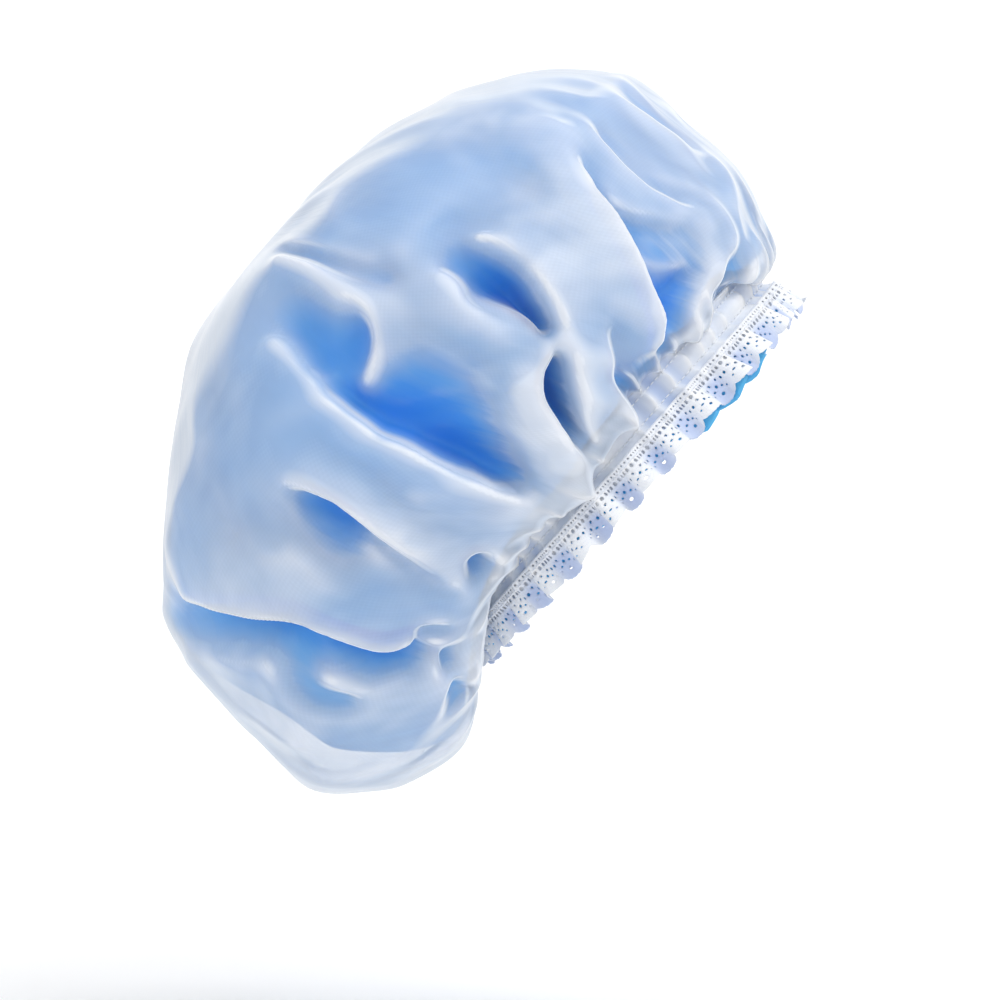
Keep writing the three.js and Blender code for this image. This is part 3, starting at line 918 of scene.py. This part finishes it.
def stitch_tree():
    tree = geometry_tree("stitch_row")
    add_input(tree, "Pitch", "NodeSocketFloat", STITCH_PITCH * MM)
    add_input(tree, "Stitch", "NodeSocketVector", [size * MM for size in STITCH_SIZE])
    given = tree.nodes.new("NodeGroupInput").outputs
    path = add_node(tree, "GeometryNodeMeshToCurve", Mesh=given["Geometry"])
    spread = add_node(tree, "GeometryNodeResampleCurve", Curve=path.outputs["Curve"])
    spread.mode = "LENGTH"
    feed_all(tree, spread, Length=given["Pitch"])
    stitch = add_node(tree, "GeometryNodeMeshUVSphere", Segments=STITCH_SEGMENTS, Rings=STITCH_RINGS,
                      Radius=1)
    tangent = tree.nodes.new("GeometryNodeInputTangent")
    turn = add_node(tree, "FunctionNodeAlignRotationToVector", Vector=tangent.outputs["Tangent"])
    turn.axis = "X"
    place = add_node(tree, "GeometryNodeInstanceOnPoints", Points=spread.outputs["Curve"],
                     Instance=stitch.outputs["Mesh"], Rotation=turn.outputs["Rotation"],
                     Scale=given["Stitch"])
    finish_tree(tree, given, place.outputs["Instances"])
    return tree


# Runs a tree on a mesh with named inputs, and returns the result as a plain mesh object.
def run_tree(name, mesh, tree, **inputs):
    source = add_object(name + "_source", mesh)
    modifier = source.modifiers.new("nodes", "NODES")
    modifier.node_group = tree
    for item in tree.interface.items_tree:
        if item.in_out == "INPUT" and item.name in inputs:
            modifier[item.identifier] = inputs[item.name]
    evaluated = source.evaluated_get(bpy.context.evaluated_depsgraph_get())
    result = bpy.data.meshes.new_from_object(evaluated)
    bpy.data.objects.remove(source)
    result.name = name
    result.shade_smooth()
    return add_object(name, result)


# Where a point of the flat lace lies: in the hem's deep uneven waves, that lift as they flare.
def lace_place(along, down, out=0.0):
    turn = 2 * math.pi * along
    level = -LACE_TOP - down
    lift = WAVE_LIFT * (down / LACE_WIDTH)**2 * wave_crest(turn)
    reach = LACE_MIDDLE + hem_out(turn, level) + out
    return hem_ring(turn + hem_sway(turn, level), reach, level + lift)


def mesh_points(mesh):
    points = np.empty(len(mesh.vertices) * 3)
    mesh.vertices.foreach_get("co", points)
    return points.reshape(-1, 3)


def weld(mesh, distance):
    work = bmesh.new()
    work.from_mesh(mesh)
    bmesh.ops.remove_doubles(work, verts=work.verts, dist=distance * MM)
    work.to_mesh(mesh)
    work.free()
    mesh.shade_smooth()


# The strip of repeats, bent round the hem and joined where repeats meet.
def make_lace(material):
    lace = run_tree("lace_ruffle", lace_repeat(), strip_tree(), Material=material)
    flat = mesh_points(lace.data) / MM
    along = (flat[:, 0] / LACE_PITCH + 0.5) / LACE_REPEATS
    placed = lean(lace_place(along, flat[:, 1]))
    lace.data.vertices.foreach_set("co", (placed * MM).ravel())
    crest = wave_crest(2 * math.pi * along)
    # The wave attribute is low in the troughs of the lace's lower half, where the lace is painted bluer
    # and darker as shade.
    add_attribute(lace, "wave", lerp(1, crest, smoothstep(flat[:, 1], 0, LACE_WIDTH / 2)))
    weld(lace.data, LACE_WELD)
    thicken(lace, LACE_SHEET)
    return lace


# The elastic: a woven band with fine ribs along it.
ELASTIC_WIDTH = 6
ELASTIC_RIBS = 6
ELASTIC_RIB_DEPTH = 0.12
ELASTIC_RIB_STEPS = 8
ELASTIC_COLUMNS = 288
ELASTIC_WELD = 0.001


def make_elastic():
    share = np.linspace(0, 1, ELASTIC_RIB_STEPS * ELASTIC_RIBS + 1)
    rib = ELASTIC_RIB_DEPTH * (1 + np.cos(2 * math.pi * ELASTIC_RIBS * share)) / 2
    levels = (CHANNEL_HEIGHT - ELASTIC_WIDTH) / 2 + ELASTIC_WIDTH * share
    face = ELASTIC_INNER + ELASTIC_THICKNESS - rib
    back = ELASTIC_INNER + rib
    section = list(zip(back[::-1], levels[::-1])) + list(zip(face, levels))
    section.append(section[0])
    ring_angles = full_turn(ELASTIC_COLUMNS)
    rows = np.stack([hem_ring(ring_angles, *place) for place in section])
    elastic = ring_mesh("ribbed_elastic", rows)
    weld(elastic.data, ELASTIC_WELD)
    return elastic


# Shader helpers.
def new_material(name):
    material = bpy.data.materials.new(name)
    material.use_nodes = True
    tree = material.node_tree
    return material, tree, tree.nodes["Principled BSDF"]


def named_attribute(tree, name, output="Fac"):
    node = tree.nodes.new("ShaderNodeAttribute")
    node.attribute_name = name
    return node.outputs[output]


def named_place(tree, name):
    return named_attribute(tree, name, "Vector")


def object_place(tree):
    return tree.nodes.new("ShaderNodeTexCoord").outputs["Object"]


# A colour from its hex code, or a grey from its strength.
def tone(value):
    if not isinstance(value, str):
        return (value, value, value, 1)
    parts = [int(value[k:k + 2], 16) / 255 for k in (1, 3, 5)]
    return (*(p / 12.92 if p <= 0.04045 else ((p + 0.055) / 1.055)**2.4 for p in parts), 1)


def ramp(tree, factor, stops):
    node = add_node(tree, "ShaderNodeValToRGB", Fac=factor)
    elements = node.color_ramp.elements
    while len(elements) < len(stops):
        elements.new(0.5)
    for element, (spot, value) in zip(elements, stops):
        element.position = spot
        element.color = tone(value)
    return node.outputs["Color"]


def map_range(tree, value, low, high, to_low=0.0, to_high=1.0):
    node = add_node(tree, "ShaderNodeMapRange", Value=value, From_Min=low, From_Max=high, To_Min=to_low,
                    To_Max=to_high)
    return node.outputs["Result"]


def mix_colour(tree, factor, first, second):
    node = tree.nodes.new("ShaderNodeMix")
    node.data_type = "RGBA"
    feed_all(tree, node, Factor=factor)
    sockets = [socket for socket in node.inputs if socket.type == "RGBA"]
    for socket, value in zip(sockets, (first, second)):
        feed(tree, socket, tone(value) if isinstance(value, str) else value)
    return next(socket for socket in node.outputs if socket.type == "RGBA")


def math_node(tree, operation, *values):
    node = tree.nodes.new("ShaderNodeMath")
    node.operation = operation
    for socket, value in zip(node.inputs, values):
        feed(tree, socket, value)
    return node.outputs["Value"]


def times(tree, first, second):
    return math_node(tree, "MULTIPLY", first, second)


def largest(tree, value, *others):
    for other in others:
        value = math_node(tree, "MAXIMUM", value, other)
    return value


def add_bump(tree, shader, rise, strength, distance):
    node = add_node(tree, "ShaderNodeBump", Strength=strength, Distance=distance * MM, Height=rise)
    feed_all(tree, shader, Normal=node.outputs["Normal"])


# Shared effects, as groups of shader nodes that turn a place into a rise.
CLOTH_THREADS = 900
LACE_THREADS = 1600
SEWING_THREADS = 2400
ELASTIC_THREADS = 1200
CRINKLE_SIZE = 30
STREAK_SIZE = 22
HAZE_SIZE = 14
CREASE_SIZE = 24
MOTTLE_SIZE = 6


def effect_group(name, count_name, count):
    tree = bpy.data.node_groups.new(name, "ShaderNodeTree")
    add_input(tree, "Place", "NodeSocketVector")
    add_input(tree, count_name, "NodeSocketFloat", count)
    tree.interface.new_socket("Rise", in_out="OUTPUT", socket_type="NodeSocketFloat")
    return tree, tree.nodes.new("NodeGroupInput").outputs


# Threads that cross over and under, counted to the metre.
def weave_group():
    tree, given = effect_group("plain_weave", "Threads", CLOTH_THREADS)
    parts = add_node(tree, "ShaderNodeSeparateXYZ", Vector=given["Place"])
    pitch = times(tree, given["Threads"], math.pi)
    waves = [math_node(tree, "COSINE", times(tree, parts.outputs[axis], pitch)) for axis in "XYZ"]
    crossing = times(tree, times(tree, waves[0], waves[1]), waves[2])
    add_node(tree, "NodeGroupOutput", Rise=math_node(tree, "MULTIPLY_ADD", crossing, 0.5, 0.5))
    return tree


# Uneven creases, larger and smaller ones together.
def crinkle_group():
    tree, given = effect_group("soft_crinkle", "Size", CRINKLE_SIZE)
    noise = add_node(tree, "ShaderNodeTexNoise", Vector=given["Place"], Scale=given["Size"], Detail=3,
                     Roughness=0.55, Distortion=0.3)
    add_node(tree, "NodeGroupOutput", Rise=noise.outputs["Fac"])
    return tree


def use_group(tree, group, place, **values):
    node = tree.nodes.new("ShaderNodeGroup")
    node.node_tree = group
    feed_all(tree, node, Place=place, **values)
    return node.outputs["Rise"]


weave = weave_group()
crinkle = crinkle_group()

# Looks of the cover: colours and body from pocket to fold, then what streaks, haze, threads, bends,
# hem and slant add. A row of two is a range, and a row of four is a range and what it turns into.
FOLD_RANGE = (-14.0, 10.0)
# Colours from pocket to fold: partly the blue liner showing through where the cloth lies on it, and
# partly painted shade, darker in the pockets.
COVER_BLUE_AND_SHADE_COLOURS = [(0.0, "#4aa5fb"), (0.15, "#58abf8"), (0.3, "#82bcf0"), (0.58, "#c6d1e0"),
                 (0.8, "#c2d2e6"), (1.0, "#d0ddee")]
# Gathered hem colours: painted shade in the valleys of the pleats, lightest on their crests.
GATHER_PLEAT_SHADE_COLOURS = [(0.0, "#b4c6e8"), (0.35, "#e2e9f6"), (1.0, "#fcfdff")]
COVER_BODY = [(0.3, 0.3), (0.55, 0.53), (0.8, 0.57), (1.0, 0.62)]
THINNEST_BODY = 0.44
STREAK_RISE = (0.3, 0.7, -3.0, 3.0)
HAZE_WHITE = (0.48, 0.72, 0.0, 0.5)
HAZE_FOLDS = (0.15, 0.55, 0.3, 1.0)
HAZE_BODY = (0.35, 0.65, 0.72, 1.28)
THREAD_BODY = (0.0, 1.0, 0.975, 1.025)
SLANT_RANGE = (0.3, 0.75)
SLANT_FOLDS = (0.1, 0.6, 0.15, 0.97)
# Whitening on and beside the fold lips: painted highlight, which also stands for cloth doubled over at
# the fold.
BESIDE_CREST_HIGHLIGHT = 0.45
CREST_DOUBLED_AND_HIGHLIGHT = 0.8
BESIDE_BODY = 0.75
CREST_BODY = 0.85
HEM_BODY = 0.9


# Sheer stiff cloth: clearer over the pockets, denser on the folds and where it is seen edge on.
def cover_material():
    material, tree, shader = new_material("sheer_cover_cloth")
    hem = named_attribute(tree, "hem")
    crest = named_attribute(tree, "crest")
    beside = named_attribute(tree, "beside_crest")
    cut = named_place(tree, "cut")
    streaks = use_group(tree, crinkle, named_place(tree, "strips"), Size=STREAK_SIZE)
    haze = use_group(tree, crinkle, cut, Size=HAZE_SIZE)
    threads = use_group(tree, weave, cut, Threads=CLOTH_THREADS)
    uneven = times(tree, map_range(tree, streaks, *STREAK_RISE), named_attribute(tree, "drawn"))
    stand_off = math_node(tree, "ADD", named_attribute(tree, "stand_off"), uneven)
    fold_share = map_range(tree, stand_off, *FOLD_RANGE)
    misty = times(tree, map_range(tree, haze, *HAZE_WHITE), map_range(tree, fold_share, *HAZE_FOLDS))
    # Bluer and darker toward the pockets: partly the liner showing through, partly painted shade.
    colour = ramp(tree, fold_share, COVER_BLUE_AND_SHADE_COLOURS)
    colour = mix_colour(tree, misty, colour, "#e6edf8")
    # Painted highlight along the fold lips and beside them, where the cloth is also doubled over.
    colour = mix_colour(tree, times(tree, beside, BESIDE_CREST_HIGHLIGHT), colour, "#eef3fb")
    colour = mix_colour(tree, times(tree, crest, CREST_DOUBLED_AND_HIGHLIGHT), colour, "#fbfcfe")
    # The hem gets the white of gathered cloth, with painted shade in its pleat valleys.
    colour = mix_colour(tree, hem, colour, ramp(tree, named_attribute(tree, "pleat"), GATHER_PLEAT_SHADE_COLOURS))
    body = times(tree, ramp(tree, fold_share, COVER_BODY), map_range(tree, haze, *HAZE_BODY))
    body = times(tree, body, map_range(tree, threads, *THREAD_BODY))
    slant = add_node(tree, "ShaderNodeLayerWeight", Blend=0.5).outputs["Facing"]
    closed_up = map_range(tree, slant, *SLANT_RANGE)
    closed_up = times(tree, closed_up, map_range(tree, fold_share, *SLANT_FOLDS))
    dense = largest(tree, body, THINNEST_BODY, times(tree, hem, HEM_BODY),
                    times(tree, crest, CREST_BODY), times(tree, beside, BESIDE_BODY), closed_up)
    feed_all(tree, shader, Base_Color=colour, Alpha=dense, Roughness=0.55, Sheen_Weight=0.8,
             Sheen_Roughness=0.35)
    add_bump(tree, shader, streaks, strength=0.25, distance=2.0)
    return material


# Blue film, with painted shade making it darker under the cover's pockets, and lighter where the frill
# hangs free.
UNDER_RANGE = (-17.0, 2.0)
LINER_POCKET_SHADE_COLOURS = [(0.0, "#2f98fc"), (0.5, "#4fabf8"), (1.0, "#66b8f8")]
FRILL_COLOUR = "#58bdf5"


def liner_material():
    material, tree, shader = new_material("blue_film")
    creases = use_group(tree, crinkle, named_place(tree, "cut"), Size=CREASE_SIZE)
    uneven = map_range(tree, creases, *STREAK_RISE)
    depth = math_node(tree, "ADD", named_attribute(tree, "under"), uneven)
    # Painted shade: the liner is darker where the cover above it sinks into a pocket.
    colour = ramp(tree, map_range(tree, depth, *UNDER_RANGE), LINER_POCKET_SHADE_COLOURS)
    colour = mix_colour(tree, named_attribute(tree, "frill"), colour, FRILL_COLOUR)
    feed_all(tree, shader, Base_Color=colour, Roughness=0.42)
    add_bump(tree, shader, creases, strength=0.3, distance=3.0)
    return material


# Woven or twisted white stuff, with its threads showing as light and shade.
def thread_material(name, dark, light, threads, roughness):
    material, tree, shader = new_material(name)
    rise = use_group(tree, weave, object_place(tree), Threads=threads)
    colour = ramp(tree, rise, [(0.0, dark), (1.0, light)])
    feed_all(tree, shader, Base_Color=colour, Roughness=roughness, Sheen_Weight=0.2)
    add_bump(tree, shader, rise, strength=0.4, distance=0.1)
    return material


# White lace, with painted shade making it bluer and darker in the troughs of its waves, and bluer
# between its threads.
LACE_TROUGH_SHADE_COLOURS = [(0.0, "#bccaea"), (0.4, "#e4eaf6"), (1.0, "#fbfcfe")]
LACE_SHADE = "#c3cee8"
LACE_SHADE_RANGE = (0.0, 0.5, 0.25, 0.0)


def lace_material():
    material, tree, shader = new_material("white_lace")
    rise = use_group(tree, weave, object_place(tree), Threads=LACE_THREADS)
    # Painted shade: darker and bluer in the troughs of the waves.
    colour = ramp(tree, named_attribute(tree, "wave"), LACE_TROUGH_SHADE_COLOURS)
    colour = mix_colour(tree, map_range(tree, rise, *LACE_SHADE_RANGE), colour, LACE_SHADE)
    feed_all(tree, shader, Base_Color=colour, Roughness=0.8, Sheen_Weight=0.2)
    add_bump(tree, shader, rise, strength=0.4, distance=0.15)
    return material


thread = thread_material("white_thread", "#dfe5f0", "#fafbfd", SEWING_THREADS, roughness=0.7)
elastic_cloth = thread_material("white_elastic", "#dcdcd6", "#f4f4ef", ELASTIC_THREADS, roughness=0.8)
stitch_nodes = stitch_tree()


# A row of stitches along a path of points about the opening.
def stitch_row(name, points, closed=True, **inputs):
    count = len(points)
    edges = [(k, (k + 1) % count) for k in range(count if closed else count - 1)]
    mesh = new_mesh(name, lean(points) * MM, edges)
    return run_tree(name, mesh, stitch_nodes, Material=thread, **inputs)


STITCH_POINTS = 720
STITCH_ANGLES = full_turn(STITCH_POINTS)
THREAD_LIFT = 0.3
UPPER_ROW = 8.2
LOWER_ROW = 0.0


def hem_stitches(name, level):
    out = COVER_MIDDLE + hem_out(STITCH_ANGLES, level) + THREAD_LIFT
    return stitch_row(name, hem_ring(STITCH_ANGLES, out, level))


def on_lace(along, down):
    return lace_place(along, down, LACE_SHEET / 2 + THREAD_LIFT)


# The zigzag that joins the ends of the elastic at the nape.
BARTACK_LENGTH = 8
BARTACK_HEIGHT = 4
BARTACK_ZIGZAGS = 7
BARTACK_FILL = 0.9
BARTACK_LIFT = 0.25
BARTACK_PITCH = 0.9


def bartack(name):
    turns = np.arange(2 * BARTACK_ZIGZAGS + 1)
    across = BARTACK_LENGTH * (turns / turns[-1] - 0.5) * BARTACK_FILL
    level = CHANNEL_HEIGHT / 2 + np.where(turns % 2, 0.5, -0.5) * BARTACK_FILL * BARTACK_HEIGHT
    back = -(OPENING_LENGTH / 2 + BARTACK_INNER + BARTACK_LIFT) + 0 * across
    return stitch_row(name, np.stack([back, across, level], -1), False, Pitch=BARTACK_PITCH * MM)


# The short upright row where the ends of the lace meet at the nape.
LACE_JOIN_LENGTH = 9
LACE_JOIN_EDGE = 0.5
LACE_JOIN_POINTS = 20
LACE_JOIN_PITCH = 1.8
NAPE = 0.5


def lace_join(name):
    down = np.linspace(LACE_WIDTH - LACE_JOIN_LENGTH, LACE_WIDTH - LACE_JOIN_EDGE, LACE_JOIN_POINTS)
    return stitch_row(name, on_lace(NAPE + 0 * down, down), False, Pitch=LACE_JOIN_PITCH * MM)


# Gives a piece its material and body, and hides the solids of the nodes that it stands for.
def dress(piece, material, slot, *nodes):
    if material:
        piece.data.materials.append(material)
    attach(piece, "root")
    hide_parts(*nodes)


lace = make_lace(lace_material())
dress(cover, cover_material(), "cover_cloth", "outer_cover")
dress(liner, liner_material(), "liner_film", "inner_liner")
dress(lace, None, "lace", "lace_trim")
dress(make_elastic(), elastic_cloth, "elastic", "elastic_band")
lace_row = on_lace(STITCH_ANGLES / (2 * math.pi), LACE_ROW - LACE_TOP)
for piece, node in ((hem_stitches("upper_stitches", UPPER_ROW), "upper_channel_stitching"),
                    (hem_stitches("lower_stitches", LOWER_ROW), "lower_channel_stitching"),
                    (stitch_row("lace_row_stitches", lace_row), "lace_stitching"),
                    (bartack("elastic_bartack"), "elastic_join_bartack"),
                    (lace_join("lace_join_stitches"), "lace_join_stitching")):
    dress(piece, None, "thread", node)


# Floor that sweeps up behind, in one pale sheet, in metres.
FLOOR_LEVEL = -0.24
FLOOR_REACH = 4.0
FLOOR_COLOURS = [(0.0, 0.93), (1.0, 0.97)]
SWEEP_START = 0.9
SWEEP_RADIUS = 1.0
SWEEP_STEPS = 24


def add_floor():
    profile = [(-FLOOR_REACH, FLOOR_LEVEL), (SWEEP_START, FLOOR_LEVEL)]
    for turn in np.linspace(0, math.pi / 2, SWEEP_STEPS)[1:]:
        rise = SWEEP_RADIUS * (1 - math.cos(turn))
        profile.append((SWEEP_START + SWEEP_RADIUS * math.sin(turn), FLOOR_LEVEL + rise))
    profile.append((SWEEP_START + SWEEP_RADIUS, FLOOR_LEVEL + FLOOR_REACH))
    points = [(x, y, z) for y, z in profile for x in (-FLOOR_REACH, FLOOR_REACH)]
    faces = [(2 * k, 2 * k + 1, 2 * k + 3, 2 * k + 2) for k in range(len(profile) - 1)]
    floor = add_object("studio_floor", new_mesh("studio_floor", points, faces=faces))
    material, tree, shader = new_material("pale_floor")
    mottle = use_group(tree, crinkle, object_place(tree), Size=MOTTLE_SIZE)
    feed_all(tree, shader, Base_Color=ramp(tree, mottle, FLOOR_COLOURS), Roughness=0.9)
    floor.data.materials.append(material)


# A round soft light, aimed at the cap where no other aim is given.
def add_light(name, place, size, power, aim=tuple(AIM * MM)):
    data = bpy.data.lights.new(name, "AREA")
    data.shape = "DISK"
    data.size = size
    data.energy = power
    light = add_object(name, data)
    light.location = place
    light.rotation_euler = (Vector(aim) - Vector(place)).to_track_quat("-Z", "Y").to_euler()


def add_world(strength):
    world = bpy.data.worlds.new("studio")
    world.use_nodes = True
    tree = world.node_tree
    feed_all(tree, tree.nodes["Background"], Color=tone(1), Strength=strength)
    bpy.context.scene.world = world


def add_camera(sensor):
    data = bpy.data.cameras.new("photo_camera")
    data.sensor_width = sensor
    data.lens = sensor * CAMERA_DISTANCE / (2 * PHOTO_MIDDLE * PIXEL)
    camera = add_object("photo_camera", data)
    camera.location = Vector(AIM - np.array([0, CAMERA_DISTANCE, 0])) * MM
    camera.rotation_euler = (math.pi / 2, 0, 0)
    bpy.context.scene.camera = camera


add_floor()
add_light("key", place=(0.8, -0.9, 1.6), size=1.0, power=14)
add_light("fill", place=(-1.3, -1.0, 0.6), size=1.4, power=1.5)
add_light("backdrop", place=(0.0, 0.5, 1.3), size=1.4, power=14, aim=(0.0, 2.2, 0.3))
add_world(strength=0.78)
add_camera(sensor=36)
bpy.context.scene.view_settings.view_transform = "Standard"
